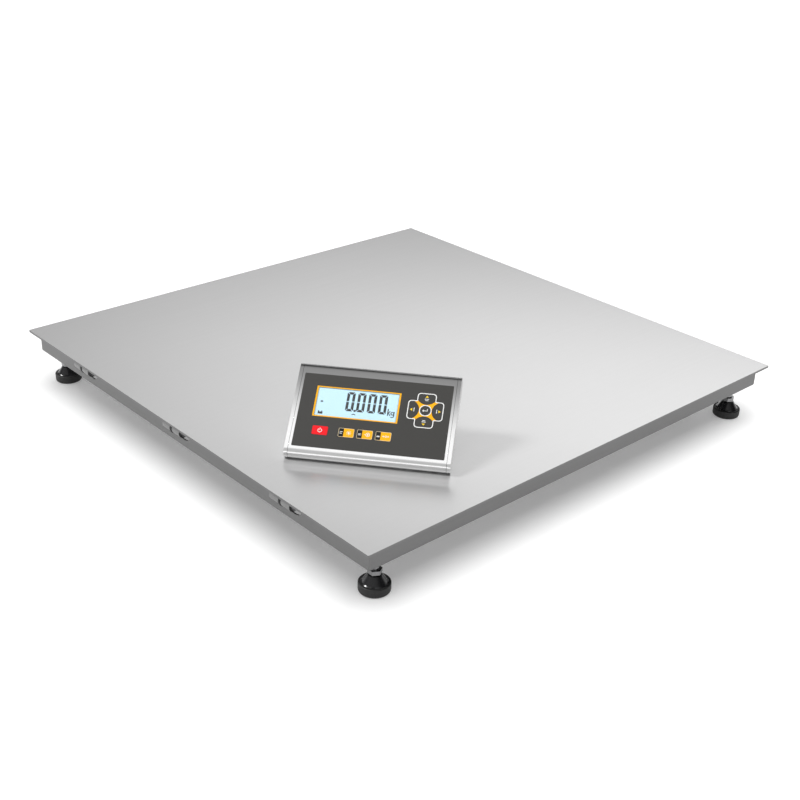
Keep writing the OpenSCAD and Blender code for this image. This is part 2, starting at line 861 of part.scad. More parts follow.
module keypad_overlay() {
  color("dimgray") in_face() difference() {
    face_sheet(-overlay_t, 0) translate([0, overlay_h / 2])
      rounded_square(overlay_w, overlay_h, overlay_r);
    face_sheet(-overlay_t - past, past) translate(window_c) square(window_size, center = true);
    for (name = KEYS) face_sheet(-overlay_t - past, past) key_outline(name, key_gap);
  }
}

module display_window() {
  color([0.75, 0.9, 1, 0.5]) in_face() face_sheet(-overlay_t, 0)
    translate(window_c) square(window_size, center = true);
}

module lcd_panel() {
  color("lightblue") in_face() face_sheet(board_top, lcd_top) translate(window_c)
    square([window_size[0] + 2 * lcd_margin, window_size[1] + 2 * lcd_margin], center = true);
}

module main_board() {
  color("darkgreen") in_face() translate([0, overlay_h / 2, 0]) {
    face_sheet(board_top - board_t, board_top) square(main_board_size, center = true);
    for (x = [-1, 1], y = [-1, 1])
      translate([x * (overlay_w / 2 - spacer_inset), y * (overlay_h / 2 - spacer_inset), 0])
        z_cylinder(board_top - eps, -shell_t, spacer_r);
  }
}

module battery_pack() {
  color("royalblue") in_face() face_sheet(battery_z[0], battery_z[1]) translate(battery_c)
    rounded_square(battery_size[0], battery_size[1], battery_r);
}

module key(name, tint) {
  color(tint) in_face() face_sheet(key_travel - key_t, key_travel) key_outline(name, 0);
}

module power_key() { key("power", "red"); }
module function_key_1() { key("function_1", "orange"); }
module function_key_2() { key("function_2", "orange"); }
module function_key_3() { key("function_3", "orange"); }
module up_key() { key("up", "dimgray"); }
module down_key() { key("down", "dimgray"); }
module left_key() { key("left", "dimgray"); }
module right_key() { key("right", "dimgray"); }
module enter_key() { key("enter", "dimgray"); }

// ---- the assembly ----

hinge_rail();
far_rail();
left_rail();
right_rail();
cross_beams();
load_cell_seats();
load_cells();
load_cell_screws();
load_cell_cables();
cable_clips();
foot_lock_nuts();
frame_knuckles();
hinge_pins();
hinge_washers();
deck_pads();
junction_box();
junction_box_lid();
junction_box_screws();
junction_board();
cable_glands();
deck_plate();
deck_stiffeners();
deck_knuckles();
foot_stud(foot_signs[0]);  // foot_stud_near_left
foot_seat(foot_signs[0]);  // foot_seat_near_left
foot_cup(foot_signs[0]);  // foot_cup_near_left
foot_base(foot_signs[0]);  // foot_base_near_left
foot_stud(foot_signs[1]);  // foot_stud_near_right
foot_seat(foot_signs[1]);  // foot_seat_near_right
foot_cup(foot_signs[1]);  // foot_cup_near_right
foot_base(foot_signs[1]);  // foot_base_near_right
foot_stud(foot_signs[2]);  // foot_stud_far_left
foot_seat(foot_signs[2]);  // foot_seat_far_left
foot_cup(foot_signs[2]);  // foot_cup_far_left
foot_base(foot_signs[2]);  // foot_base_far_left
foot_stud(foot_signs[3]);  // foot_stud_far_right
foot_seat(foot_signs[3]);  // foot_seat_far_right
foot_cup(foot_signs[3]);  // foot_cup_far_right
foot_base(foot_signs[3]);  // foot_base_far_right
indicator_housing();
end_caps();
end_cap_seals();
rear_cover();
rear_screws();
cable_sockets();
keypad_overlay();
display_window();
lcd_panel();
main_board();
battery_pack();
indicator_stand();
power_key();
function_key_1();
function_key_2();
function_key_3();
up_key();
down_key();
left_key();
right_key();
enter_key();
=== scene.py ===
"""Looks of the low floor scale: materials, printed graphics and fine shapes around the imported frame."""
import json
import math

import bmesh
import bpy
from mathutils import Matrix, Vector


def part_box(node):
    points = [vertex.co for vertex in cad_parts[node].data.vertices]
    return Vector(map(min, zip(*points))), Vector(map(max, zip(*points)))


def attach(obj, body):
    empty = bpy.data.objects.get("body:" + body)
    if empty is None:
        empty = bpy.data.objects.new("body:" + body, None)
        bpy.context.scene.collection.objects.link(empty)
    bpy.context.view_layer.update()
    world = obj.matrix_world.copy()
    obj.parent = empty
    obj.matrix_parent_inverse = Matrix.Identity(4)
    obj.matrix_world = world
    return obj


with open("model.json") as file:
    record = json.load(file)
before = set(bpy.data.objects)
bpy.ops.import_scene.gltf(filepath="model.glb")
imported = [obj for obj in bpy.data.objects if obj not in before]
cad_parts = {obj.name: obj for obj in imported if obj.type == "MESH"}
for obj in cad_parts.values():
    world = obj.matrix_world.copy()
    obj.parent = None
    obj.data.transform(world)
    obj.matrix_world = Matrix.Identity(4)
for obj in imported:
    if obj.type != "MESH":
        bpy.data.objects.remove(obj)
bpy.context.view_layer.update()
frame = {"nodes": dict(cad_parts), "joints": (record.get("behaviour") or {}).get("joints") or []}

MM = 0.001
JOINTS = {joint["name"]: joint for joint in frame["joints"]}
KEY_NODES = ["power_key", "function_key_1", "function_key_2", "function_key_3",
             "up_key", "down_key", "left_key", "right_key", "enter_key"]

# ---------------------------------------------------------------- camera and light

DECK_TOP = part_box("deck_plate")[1].z
CAMERA_AZIMUTH = 46.986
CAMERA_ELEVATION = 26.763
CAMERA_ROLL = 1.937
CAMERA_DISTANCE = 2.5578
CAMERA_TARGET = Vector((0.2042, -0.1706, DECK_TOP))
LENS_MM = 54.94
SENSOR_MM = 36.0


def direction(azimuth, elevation):
    """Unit vector from the object towards a viewer at that azimuth and elevation, in degrees."""
    a, e = math.radians(azimuth), math.radians(elevation)
    return Vector((math.sin(a) * math.cos(e), -math.cos(a) * math.cos(e), math.sin(e)))


def axes_matrix(right, up, back, origin):
    matrix = Matrix((right, up, back)).transposed().to_4x4()
    matrix.translation = origin
    return matrix


def make_camera():
    back = direction(CAMERA_AZIMUTH, CAMERA_ELEVATION)
    right = Vector((0, 0, 1)).cross(back).normalized()
    up = back.cross(right)
    roll = Matrix.Rotation(math.radians(CAMERA_ROLL), 3, back)
    data = bpy.data.cameras.new("camera")
    data.lens = LENS_MM
    data.sensor_width = SENSOR_MM
    data.clip_end = 60
    camera = bpy.data.objects.new("camera", data)
    camera.matrix_world = axes_matrix(roll @ right, roll @ up, back, CAMERA_TARGET + back * CAMERA_DISTANCE)
    bpy.context.scene.collection.objects.link(camera)
    bpy.context.scene.camera = camera


def sun_light(name, azimuth, elevation, strength, soft_angle):
    """Even light from that side, with soft shadows."""
    data = bpy.data.lights.new(name, "SUN")
    data.energy = strength
    data.angle = math.radians(soft_angle)
    light = bpy.data.objects.new(name, data)
    light.rotation_euler = direction(azimuth, elevation).to_track_quat("Z", "Y").to_euler()
    bpy.context.scene.collection.objects.link(light)
    return light


def light_only(light, *objects):
    """Limits a light to the given objects; everything still casts shadows in it."""
    lit = bpy.data.collections.new(light.name + "_lit")
    for obj in objects:
        lit.objects.link(obj)
    light.light_linking.receiver_collection = lit


def sky_ramp(tree, value, start, end, low=0.0, high=1.0):
    """Smooth rise (or fall) of a value between start and end."""
    node = tree.nodes.new("ShaderNodeMapRange")
    node.interpolation_type = "SMOOTHSTEP"
    node.inputs["From Min"].default_value = start
    node.inputs["From Max"].default_value = end
    node.inputs["To Min"].default_value = low
    node.inputs["To Max"].default_value = high
    tree.links.new(value, node.inputs["Value"])
    return node.outputs["Result"]


def facing(tree, coords, azimuth, elevation):
    """Cosine of the angle between a sky direction and the given one."""
    node = tree.nodes.new("ShaderNodeVectorMath")
    node.operation = "DOT_PRODUCT"
    node.inputs[1].default_value = direction(azimuth, elevation)
    tree.links.new(coords.outputs["Generated"], node.inputs[0])
    return node.outputs["Value"]


def multiply_values(tree, first, second):
    node = tree.nodes.new("ShaderNodeMath")
    node.operation = "MULTIPLY"
    tree.links.new(first, node.inputs[0])
    tree.links.new(second, node.inputs[1])
    return node.outputs["Value"]


def make_world():
    """A dim sky with a soft panel behind the scale, a front fill, a ceiling and a pale horizon."""
    world = bpy.data.worlds.new("studio")
    bpy.context.scene.world = world
    world.use_nodes = True
    tree = world.node_tree
    background = tree.nodes["Background"]
    coords = tree.nodes.new("ShaderNodeTexCoord")
    height = facing(tree, coords, 0, 90)
    panel = sky_ramp(tree, facing(tree, coords, PANEL_AZIMUTH, 0), *PANEL_SIDEWAYS, 0.0, PANEL_LEVEL)
    panel = multiply_values(tree, panel, sky_ramp(tree, height, *PANEL_LOW_EDGE))
    panel = multiply_values(tree, panel, sky_ramp(tree, height, *PANEL_HIGH_EDGE, 1.0, PANEL_ABOVE))
    fill = sky_ramp(tree, facing(tree, coords, FILL_AZIMUTH, FILL_ELEVATION), 0.2, 1.0, SKY_LEVEL, FILL_LEVEL)
    ceiling = sky_ramp(tree, height, *CEILING_RISE, 0.0, CEILING_LEVEL)
    backdrop = sky_ramp(tree, height, *BACKDROP_FADE, BACKDROP_LEVEL, 0.0)
    total = add_values(tree, add_values(tree, panel, fill), add_values(tree, ceiling, backdrop))
    tree.links.new(total, background.inputs["Strength"])
    background.inputs["Color"].default_value = (1, 1, 1, 1)


PANEL_AZIMUTH = 205
PANEL_SIDEWAYS = (0.50, 0.98)
PANEL_LOW_EDGE = (0.29, 0.43)
PANEL_HIGH_EDGE = (0.46, 0.68)
PANEL_ABOVE = 0.35
PANEL_LEVEL = 1.75
CEILING_RISE = (0.80, 0.97)
CEILING_LEVEL = 0.75
BACKDROP_FADE = (0.10, 0.24)
BACKDROP_LEVEL = 1.0
SKY_LEVEL = 0.05
FILL_AZIMUTH = 20
FILL_ELEVATION = 40
FILL_LEVEL = 0.6
KEY_AZIMUTH = -43
KEY_ELEVATION = 43
KEY_STRENGTH = 2.6
KEY_SOFTNESS = 14
WASH_STRENGTH = 2.6
WASH_SOFTNESS = 62

# ---------------------------------------------------------------- node helpers


def new_material(name, color=(0.8, 0.8, 0.8), metallic=0.0, roughness=0.5):
    material = bpy.data.materials.new(name)
    material.use_nodes = True
    shader = material.node_tree.nodes["Principled BSDF"]
    shader.inputs["Base Color"].default_value = (*color[:3], 1)
    shader.inputs["Metallic"].default_value = metallic
    shader.inputs["Roughness"].default_value = roughness
    return material, material.node_tree, shader


def stretched_noise(tree, scale, detail=3.0, rotation=(0, 0, 0), roughness=0.55):
    """Noise in the object's own coordinates, stretched by a scale per axis, in cycles per metre."""
    coords = tree.nodes.new("ShaderNodeTexCoord")
    turn = tree.nodes.new("ShaderNodeMapping")
    turn.vector_type = "POINT"
    turn.inputs["Rotation"].default_value = rotation
    stretch = tree.nodes.new("ShaderNodeMapping")
    stretch.inputs["Scale"].default_value = scale
    noise = tree.nodes.new("ShaderNodeTexNoise")
    noise.inputs["Scale"].default_value = 1.0
    noise.inputs["Detail"].default_value = detail
    noise.inputs["Roughness"].default_value = roughness
    tree.links.new(coords.outputs["Object"], turn.inputs["Vector"])
    tree.links.new(turn.outputs["Vector"], stretch.inputs["Vector"])
    tree.links.new(stretch.outputs["Vector"], noise.inputs["Vector"])
    return noise.outputs["Fac"]


def spread(tree, value, low, high, centre=0.5, width=0.25):
    """Maps a noise value from centre - width .. centre + width to low .. high."""
    node = tree.nodes.new("ShaderNodeMapRange")
    node.inputs["From Min"].default_value = centre - width
    node.inputs["From Max"].default_value = centre + width
    node.inputs["To Min"].default_value = low
    node.inputs["To Max"].default_value = high
    tree.links.new(value, node.inputs["Value"])
    return node.outputs["Result"]


def colour_between(tree, factor, first, second):
    node = tree.nodes.new("ShaderNodeMix")
    node.data_type = "RGBA"
    node.inputs[6].default_value = (*first, 1)
    node.inputs[7].default_value = (*second, 1)
    tree.links.new(factor, node.inputs[0])
    return node.outputs[2]


def painted_shade_upwards(tree, shade, dark, low, high):
    """Painted shade: blends a colour into a darker one between two heights, darker at the top; the linked
    colour replaces the first colour.
    """
    coords = tree.nodes.new("ShaderNodeTexCoord")
    split = tree.nodes.new("ShaderNodeSeparateXYZ")
    tree.links.new(coords.outputs["Object"], split.inputs[0])
    blend = colour_between(tree, sky_ramp(tree, split.outputs["Z"], low, high), dark, dark)
    tree.links.new(shade, blend.node.inputs[6])
    return blend


def add_values(tree, first, second):
    node = tree.nodes.new("ShaderNodeMath")
    node.operation = "ADD"
    tree.links.new(first, node.inputs[0])
    tree.links.new(second, node.inputs[1])
    return node.outputs["Value"]


def add_bump(tree, shader, height, strength, distance):
    node = tree.nodes.new("ShaderNodeBump")
    node.inputs["Strength"].default_value = strength
    node.inputs["Distance"].default_value = distance
    tree.links.new(height, node.inputs["Height"])
    tree.links.new(node.outputs["Normal"], shader.inputs["Normal"])


def tinted(color, gain):
    return tuple(min(channel * gain, 1.0) for channel in color[:3])


# ---------------------------------------------------------------- materials


# Painted shade: the indicator's steel darkens to this fraction of its colour at its top.
PAINTED_TOP_SHADE = 0.28


def brushed_metal(name, color, roughness, along, rotation=(0, 0, 0), variation=0.06, grain=0.05,
                  metallic=1.0, painted_shade_range=None):
    """Stainless sheet with a linear grain along one axis: fine lines, broad streaks, faint clouds.

    An optional height range paints shade on the metal: over it the metal turns darker upwards.
    """
    material, tree, shader = new_material(name, color, metallic, roughness)
    fine_scale = [2200.0] * 3
    fine_scale[along] = 18.0
    streak_scale = [120.0] * 3
    streak_scale[along] = 2.2
    fine = stretched_noise(tree, fine_scale, 2.0, rotation)
    streak = stretched_noise(tree, streak_scale, 4.0, rotation)
    cloud = stretched_noise(tree, [3.0] * 3, 3.0, rotation)
    tone = add_values(tree, spread(tree, streak, 0.0, 0.6), spread(tree, cloud, 0.0, 0.4))
    shade = colour_between(tree, tone, tinted(color, 1 - variation), tinted(color, 1 + variation))
    # Painted shade: darker towards the top over the given heights.
    if painted_shade_range:
        shade = painted_shade_upwards(tree, shade, tinted(color, PAINTED_TOP_SHADE), *painted_shade_range)
    tree.links.new(shade, shader.inputs["Base Color"])
    rough = add_values(tree, spread(tree, fine, roughness - grain, roughness + grain),
                       spread(tree, streak, -grain / 2, grain / 2))
    tree.links.new(rough, shader.inputs["Roughness"])
    add_bump(tree, shader, add_values(tree, fine, streak), 0.35, 0.00002)
    return material


PLASTIC_SHEEN = 0.3


def smooth_plastic(name, color, roughness, bump=0.0, coat=0.0, scale=900.0, variation=0.08):
    """Moulded or printed plastic with a faint grain in colour, gloss and height."""
    material, tree, shader = new_material(name, color, 0.0, roughness)
    noise = stretched_noise(tree, [scale] * 3, 3.0)
    cloud = stretched_noise(tree, [25.0] * 3, 2.0)
    shade = colour_between(tree, spread(tree, noise, 0.0, 1.0), tinted(color, 1 - variation),
                           tinted(color, 1 + variation))
    tree.links.new(shade, shader.inputs["Base Color"])
    tree.links.new(spread(tree, cloud, roughness * 0.9, roughness * 1.12), shader.inputs["Roughness"])
    if bump:
        add_bump(tree, shader, noise, 0.5, bump)
    shader.inputs["Specular IOR Level"].default_value = PLASTIC_SHEEN
    shader.inputs["Coat Weight"].default_value = coat
    shader.inputs["Coat Roughness"].default_value = 0.12
    return material


def rubber(name, color):
    """Moulded rubber: dull, finely pitted, with dusty wear in soft patches."""
    material, tree, shader = new_material(name, color, 0.0, 0.62)
    pits = stretched_noise(tree, [1400.0] * 3, 4.0)
    dust = stretched_noise(tree, [45.0] * 3, 5.0, roughness=0.7)
    shade = colour_between(tree, spread(tree, dust, 0.0, 1.0, 0.6, 0.18), color, tinted(color, 1.9))
    tree.links.new(shade, shader.inputs["Base Color"])
    tree.links.new(spread(tree, dust, 0.5, 0.75), shader.inputs["Roughness"])
    add_bump(tree, shader, pits, 0.4, 0.00006)
    return material


def plated_metal(name, color, roughness):
    """Zinc or nickel plated steel: nearly even, with faint stains and fine handling marks."""
    material, tree, shader = new_material(name, color, 1.0, roughness)
    stain = stretched_noise(tree, [160.0] * 3, 5.0)
    marks = stretched_noise(tree, [1500.0, 1500.0, 260.0], 3.0)
    shade = colour_between(tree, spread(tree, stain, 0.0, 1.0), tinted(color, 0.86), tinted(color, 1.08))
    tree.links.new(shade, shader.inputs["Base Color"])
    tree.links.new(spread(tree, marks, roughness * 0.8, roughness * 1.3), shader.inputs["Roughness"])
    add_bump(tree, shader, marks, 0.25, 0.00003)
    return material


def circuit_board(name, color):
    """Green lacquered board with copper tracks showing through as lighter lines."""
    material, tree, shader = new_material(name, color, 0.0, 0.35)
    across = stretched_noise(tree, [35.0, 900.0, 35.0], 0.0)
    along = stretched_noise(tree, [900.0, 35.0, 35.0], 0.0)
    tracks = add_values(tree, spread(tree, across, 0.0, 0.5, 0.56, 0.02),
                        spread(tree, along, 0.0, 0.5, 0.58, 0.02))
    shade = colour_between(tree, tracks, color, tinted(color, 1.9))
    tree.links.new(shade, shader.inputs["Base Color"])
    add_bump(tree, shader, tracks, 0.4, 0.00004)
    return material


DISPLAY_GLOW = 0.45
WINDOW_ALPHA = 0.03


def lit_display(name, color):
    """Backlit display: pale blue, a little uneven, glowing softly by its own light."""
    material, tree, shader = new_material(name, color, 0.0, 0.3)
    cloud = stretched_noise(tree, [9.0] * 3, 1.0)
    shade = colour_between(tree, spread(tree, cloud, 0.0, 1.0), tinted(color, 0.97), tinted(color, 1.03))
    tree.links.new(shade, shader.inputs["Base Color"])
    shader.inputs["Emission Color"].default_value = (*color, 1)
    shader.inputs["Emission Strength"].default_value = DISPLAY_GLOW
    return material


def clear_sheet(name):
    """Clear acrylic window: mostly seen through, with a soft sheen and hair-fine wipe marks."""
    material, tree, shader = new_material(name, (0.95, 0.98, 1.0), 0.0, 0.08)
    wipes = stretched_noise(tree, [700.0, 60.0, 60.0], 3.0)
    tree.links.new(spread(tree, wipes, 0.05, 0.16), shader.inputs["Roughness"])
    shader.inputs["Alpha"].default_value = WINDOW_ALPHA
    return material


INDICATOR_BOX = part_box("indicator_housing")
# Heights from which the indicator's steel gets painted shade, darker up to its top.
PAINTED_SHADE_FROM = 0.045
INDICATOR_PAINTED_SHADE = (INDICATOR_BOX[0].z + PAINTED_SHADE_FROM, INDICATOR_BOX[1].z)
FACE_AXIS = -Vector(JOINTS["enter_key_press"]["axis"]).normalized()
FACE_YAW = math.atan2(FACE_AXIS.x, -FACE_AXIS.y)
FACE_TILT = math.acos(FACE_AXIS.z)
# Rotations that bring the indicator's width, or the face's height, onto a texture axis
FACE_TURN = (Matrix.Rotation(-FACE_TILT, 3, "X") @ Matrix.Rotation(-FACE_YAW, 3, "Z")).to_euler()

MATERIALS = {
    "deck": brushed_metal("deck_steel", (0.62, 0.62, 0.62), 0.2, 1,
                          variation=0.022, grain=0.03, metallic=0.62),
    # Dark steel for the deck plate's side faces: painted shade.
    "edge": brushed_metal("plate_edge_painted_shade", (0.16, 0.16, 0.16), 0.4, 2, variation=0.05),
    # Rail steel much darker than bare stainless: painted shade for the skirt lying in shade under the plate.
    "rail_x": brushed_metal("rail_steel_x", (0.15, 0.15, 0.15), 0.38, 0, variation=0.08),
    "rail_y": brushed_metal("rail_steel_y", (0.15, 0.15, 0.15), 0.38, 1, variation=0.08),
    "beam": brushed_metal("beam_steel", (0.30, 0.30, 0.30), 0.42, 1, variation=0.08),
    "hinge": brushed_metal("hinge_steel", (0.20, 0.20, 0.20), 0.22, 0, variation=0.05),
    # Indicator steel with painted shade, darker towards its top.
    "indicator": brushed_metal("indicator_steel", (0.80, 0.80, 0.80), 0.2, 0, FACE_TURN, 0.03, 0.03,
                               painted_shade_range=INDICATOR_PAINTED_SHADE),
    "cell": plated_metal("cell_steel", (0.60, 0.60, 0.62), 0.3),
    "plated": plated_metal("plated_steel", (0.24, 0.24, 0.245), 0.2),
    "rubber": rubber("black_rubber", (0.007, 0.007, 0.007)),
    "cup": smooth_plastic("black_cup", (0.009, 0.009, 0.010), 0.2, 0.00001, 0.3),
    "cable": smooth_plastic("cable_jacket", (0.03, 0.03, 0.032), 0.5, 0.00004),
    "nylon_black": smooth_plastic("black_nylon", (0.012, 0.012, 0.013), 0.45, 0.00003),
    "nylon_white": smooth_plastic("white_nylon", (0.72, 0.71, 0.67), 0.45, 0.00003, variation=0.04),
    "board": circuit_board("circuit_board", (0.02, 0.12, 0.05)),
    "overlay": smooth_plastic("dark_overlay", (0.046, 0.045, 0.042), 0.5, 0.00002,
                              scale=2600.0, variation=0.05),
    "display": lit_display("display_blue", (0.40, 0.59, 0.70)),
    "window": clear_sheet("clear_window"),
    "battery": smooth_plastic("battery_wrap", (0.03, 0.08, 0.25), 0.35, 0.00003),
    "red": smooth_plastic("key_red", (0.85, 0.002, 0.010), 0.6, 0.00001, scale=2600.0, variation=0.04),
    "orange": smooth_plastic("print_orange", (1.0, 0.46, 0.0), 0.6, 0.00001, scale=2600.0, variation=0.04),
    "yellow": smooth_plastic("print_yellow", (0.93, 0.62, 0.02), 0.42, 0.00001, scale=2600.0, variation=0.04),
    "white": smooth_plastic("print_white", (0.86, 0.86, 0.85), 0.42, 0.00001, scale=2600.0, variation=0.03),
    "black": smooth_plastic("print_black", (0.008, 0.008, 0.008), 0.4, 0.00001, scale=2600.0),
    "cream": smooth_plastic("print_cream", (0.80, 0.66, 0.42), 0.42, 0.00001, scale=2600.0, variation=0.03),
    # Darker blue for a painted shadow inside the display's edges.
    "painted_display_shadow": smooth_plastic("painted_display_shadow", (0.30, 0.47, 0.60), 0.4, 0.0, scale=900.0, variation=0.04),
    "segment": smooth_plastic("display_segment", (0.003, 0.003, 0.004), 0.6, 0.0, scale=2600.0),
}

NODE_LOOKS = {
    "hinge_rail": "rail_x", "far_rail": "rail_x", "left_rail": "rail_y", "right_rail": "rail_y",
    "cross_beams": "beam", "load_cell_seats": "beam", "load_cells": "cell",
    "load_cell_screws": "plated", "load_cell_cables": "cable", "cable_clips": "nylon_white",
    "foot_lock_nuts": "plated", "frame_knuckles": "hinge", "hinge_pins": "plated",
    "hinge_washers": "nylon_black", "deck_pads": "rubber",
    "junction_box": "beam", "junction_box_lid": "beam", "junction_box_screws": "plated",
    "junction_board": "board", "cable_glands": "nylon_black",
    "deck_plate": "deck", "deck_stiffeners": "beam", "deck_knuckles": "hinge",
    "indicator_housing": "indicator", "end_caps": "indicator", "end_cap_seals": "rubber",
    "rear_cover": "indicator", "rear_screws": "plated", "cable_sockets": "nylon_black",
    "keypad_overlay": "overlay", "display_window": "window", "lcd_panel": "display",
    "main_board": "board", "battery_pack": "battery", "indicator_stand": "indicator",
    "power_key": "red", "function_key_1": "orange", "function_key_2": "orange",
    "function_key_3": "orange", "up_key": "overlay", "down_key": "overlay",
    "left_key": "overlay", "right_key": "overlay", "enter_key": "overlay",
}
FOOT_LOOKS = {"foot_stud_": "plated", "foot_seat_": "nylon_white", "foot_cup_": "cup", "foot_base_": "rubber"}

# Edge rounding of the CAD nodes, in millimetres
EDGE_ROUNDING = {
    "deck_plate": 0.8, "hinge_rail": 0.5, "far_rail": 0.5, "left_rail": 0.5, "right_rail": 0.5,
    "cross_beams": 0.6, "deck_stiffeners": 0.6, "load_cells": 0.8, "load_cell_seats": 0.6,
    "frame_knuckles": 0.8, "deck_knuckles": 0.8, "hinge_pins": 0.8, "hinge_washers": 0.6,
    "deck_pads": 0.5, "junction_box": 0.6, "junction_box_lid": 0.5, "foot_lock_nuts": 0.5,
    "indicator_housing": 0.25, "end_caps": 0.8, "rear_cover": 0.3, "indicator_stand": 0.5,
    "cable_sockets": 0.5, "cable_glands": 0.5, "cable_clips": 0.4, "rear_screws": 0.4,
    "battery_pack": 0.8,
}
KEY_ROUNDING = 0.25
SHARP_ANGLE = 28
WELD_DISTANCE = 1e-6


def dress_nodes():
    """Gives every CAD node its material, smooth round faces and, where listed, an edge radius."""
    for name, obj in frame["nodes"].items():
        look = NODE_LOOKS.get(name)
        if look is None:
            look = next(FOOT_LOOKS[prefix] for prefix in FOOT_LOOKS if name.startswith(prefix))
        obj.data.materials.clear()
        obj.data.materials.append(MATERIALS[look])
        # The deck plate's side faces get painted shade.
        if name == "deck_plate":
            paint_shade_on_sides(obj)
        smooth_by_angle(obj)
        width = KEY_ROUNDING if name in KEY_NODES else EDGE_ROUNDING.get(name, 0.0)
        if width:
            weld = obj.modifiers.new("weld", "WELD")
            weld.merge_threshold = WELD_DISTANCE
            bevel = obj.modifiers.new("edge_radius", "BEVEL")
            bevel.width = width * MM
            bevel.segments = 2
            bevel.limit_method = "ANGLE"
            bevel.angle_limit = math.radians(SHARP_ANGLE)
            shading = obj.modifiers.new("flat_faces", "WEIGHTED_NORMAL")
            shading.keep_sharp = True


def paint_shade_on_sides(obj):
    """Painted shade: the plate's side faces get a much darker, rougher steel than its brushed face."""
    obj.data.materials.append(MATERIALS["edge"])
    for face in obj.data.polygons:
        face.material_index = 1 if abs(face.normal.z) < 0.5 else 0


def smooth_by_angle(obj, degrees=SHARP_ANGLE):
    mesh = obj.data
    mesh.polygons.foreach_set("use_smooth", [True] * len(mesh.polygons))
    mesh.set_sharp_from_angle(angle=math.radians(degrees))


# ---------------------------------------------------------------- stage


FLOOR_COLOUR = (0.80, 0.80, 0.80)
FLOOR_GLOW = 0.22
FLOOR_HALF = 14.0


def make_floor():
    material, tree, shader = new_material("floor", FLOOR_COLOUR, 0.0, 0.9)
    cloud = stretched_noise(tree, [1.5] * 3, 2.0)
    shade = colour_between(tree, spread(tree, cloud, 0.0, 1.0), FLOOR_COLOUR, tinted(FLOOR_COLOUR, 1.01))
    tree.links.new(shade, shader.inputs["Base Color"])
    shader.inputs["Emission Color"].default_value = (1, 1, 1, 1)
    shader.inputs["Emission Strength"].default_value = FLOOR_GLOW
    mesh = bpy.data.meshes.new("floor")
    half = FLOOR_HALF
    corners = [(-half, -half, 0), (half, -half, 0), (half, half, 0), (-half, half, 0)]
    mesh.from_pydata(corners, [], [(0, 1, 2, 3)])
    mesh.materials.append(material)
    floor = bpy.data.objects.new("floor", mesh)
    bpy.context.scene.collection.objects.link(floor)
    return floor


# ---------------------------------------------------------------- the indicator's printed face


def face_frame():
    """Matrix from millimetres on the face (x across, y up it, z out of it) to the scene."""
    across = Vector((0, 0, 1)).cross(FACE_AXIS).normalized()
    up = FACE_AXIS.cross(across)
    points = [vertex.co for vertex in frame["nodes"]["keypad_overlay"].data.vertices]
    sides = [point.dot(across) for point in points]
    origin = (across * (min(sides) + max(sides)) / 2 + up * min(point.dot(up) for point in points)
              + FACE_AXIS * max(point.dot(FACE_AXIS) for point in points))
    return axes_matrix(across, up, FACE_AXIS, origin) @ Matrix.Scale(MM, 4)


FACE = face_frame()


def node_centre(name):
    """Middle of a CAD node on the face, in the face's millimetres."""
    low, high = node_extent(name)
    return (low + high) / 2


def node_extent(name):
    inverse = FACE.inverted()
    points = [inverse @ vertex.co for vertex in frame["nodes"][name].data.vertices]
    low = Vector([min(point[axis] for point in points) for axis in range(3)])
    high = Vector([max(point[axis] for point in points) for axis in range(3)])
    return low, high


def arc(centre, radius, start, end, steps=16):
    return [(centre[0] + radius * math.cos(math.radians(start + (end - start) * i / steps)),
             centre[1] + radius * math.sin(math.radians(start + (end - start) * i / steps)))
            for i in range(steps + 1)]


def circle(centre, radius, steps=48):
    return arc(centre, radius, 0, 360, steps)[:-1]


def rounded(points, radii, steps=6):
    """The outline with each corner rounded by its radius."""
    loop = []
    for i, point in enumerate(points):
        corner = Vector(point)
        back = (Vector(points[i - 1]) - corner).normalized()
        ahead = (Vector(points[(i + 1) % len(points)]) - corner).normalized()
        run = radii[i] / math.tan(back.angle(ahead) / 2)
        first, last = corner + back * run, corner + ahead * run
        for k in range(steps + 1):
            t = k / steps
            loop.append(tuple((1 - t) ** 2 * first + 2 * t * (1 - t) * corner + t * t * last))
    return loop


def rectangle(centre, width, height, radius=0.6):
    x, y = centre
    w, h = width / 2, height / 2
    return rounded([(x - w, y - h), (x + w, y - h), (x + w, y + h), (x - w, y + h)], [radius] * 4)


def moved(loop, centre, turn=0.0):
    c, s = math.cos(math.radians(turn)), math.sin(math.radians(turn))
    return [(centre[0] + x * c - y * s, centre[1] + x * s + y * c) for x, y in loop]


def bar(start, end, width):
    """A straight stroke with round ends."""
    start, end = Vector(start), Vector(end)
    turn = math.degrees(math.atan2(end.y - start.y, end.x - start.x))
    return arc(end, width / 2, turn - 90, turn + 90, 6) + arc(start, width / 2, turn + 90, turn + 270, 6)


def printed(name, shapes, level, look, body="indicator", thickness=0.04):
    """A thin printed layer: each shape is a list of loops, the first its outline and the rest its holes."""
    sheet = bmesh.new()
    for loops in shapes:
        edges = []
        for loop in loops:
            corners = [sheet.verts.new((x, y, level)) for x, y in loop]
            edges += [sheet.edges.new((corners[i - 1], corners[i])) for i in range(len(corners))]
        bmesh.ops.triangle_fill(sheet, use_beauty=True, use_dissolve=False, edges=edges, normal=(0, 0, 1))
    base = list(sheet.faces)
    grown = bmesh.ops.extrude_face_region(sheet, geom=base)
    raised = [item for item in grown["geom"] if isinstance(item, bmesh.types.BMVert)]
    bmesh.ops.translate(sheet, verts=raised, vec=(0, 0, thickness))
    bmesh.ops.recalc_face_normals(sheet, faces=sheet.faces)
    mesh = bpy.data.meshes.new(name)
    sheet.transform(FACE)
    sheet.to_mesh(mesh)
    sheet.free()
    mesh.materials.append(MATERIALS[look])
    piece = bpy.data.objects.new(name, mesh)
    bpy.context.scene.collection.objects.link(piece)
    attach(piece, body)
    return piece


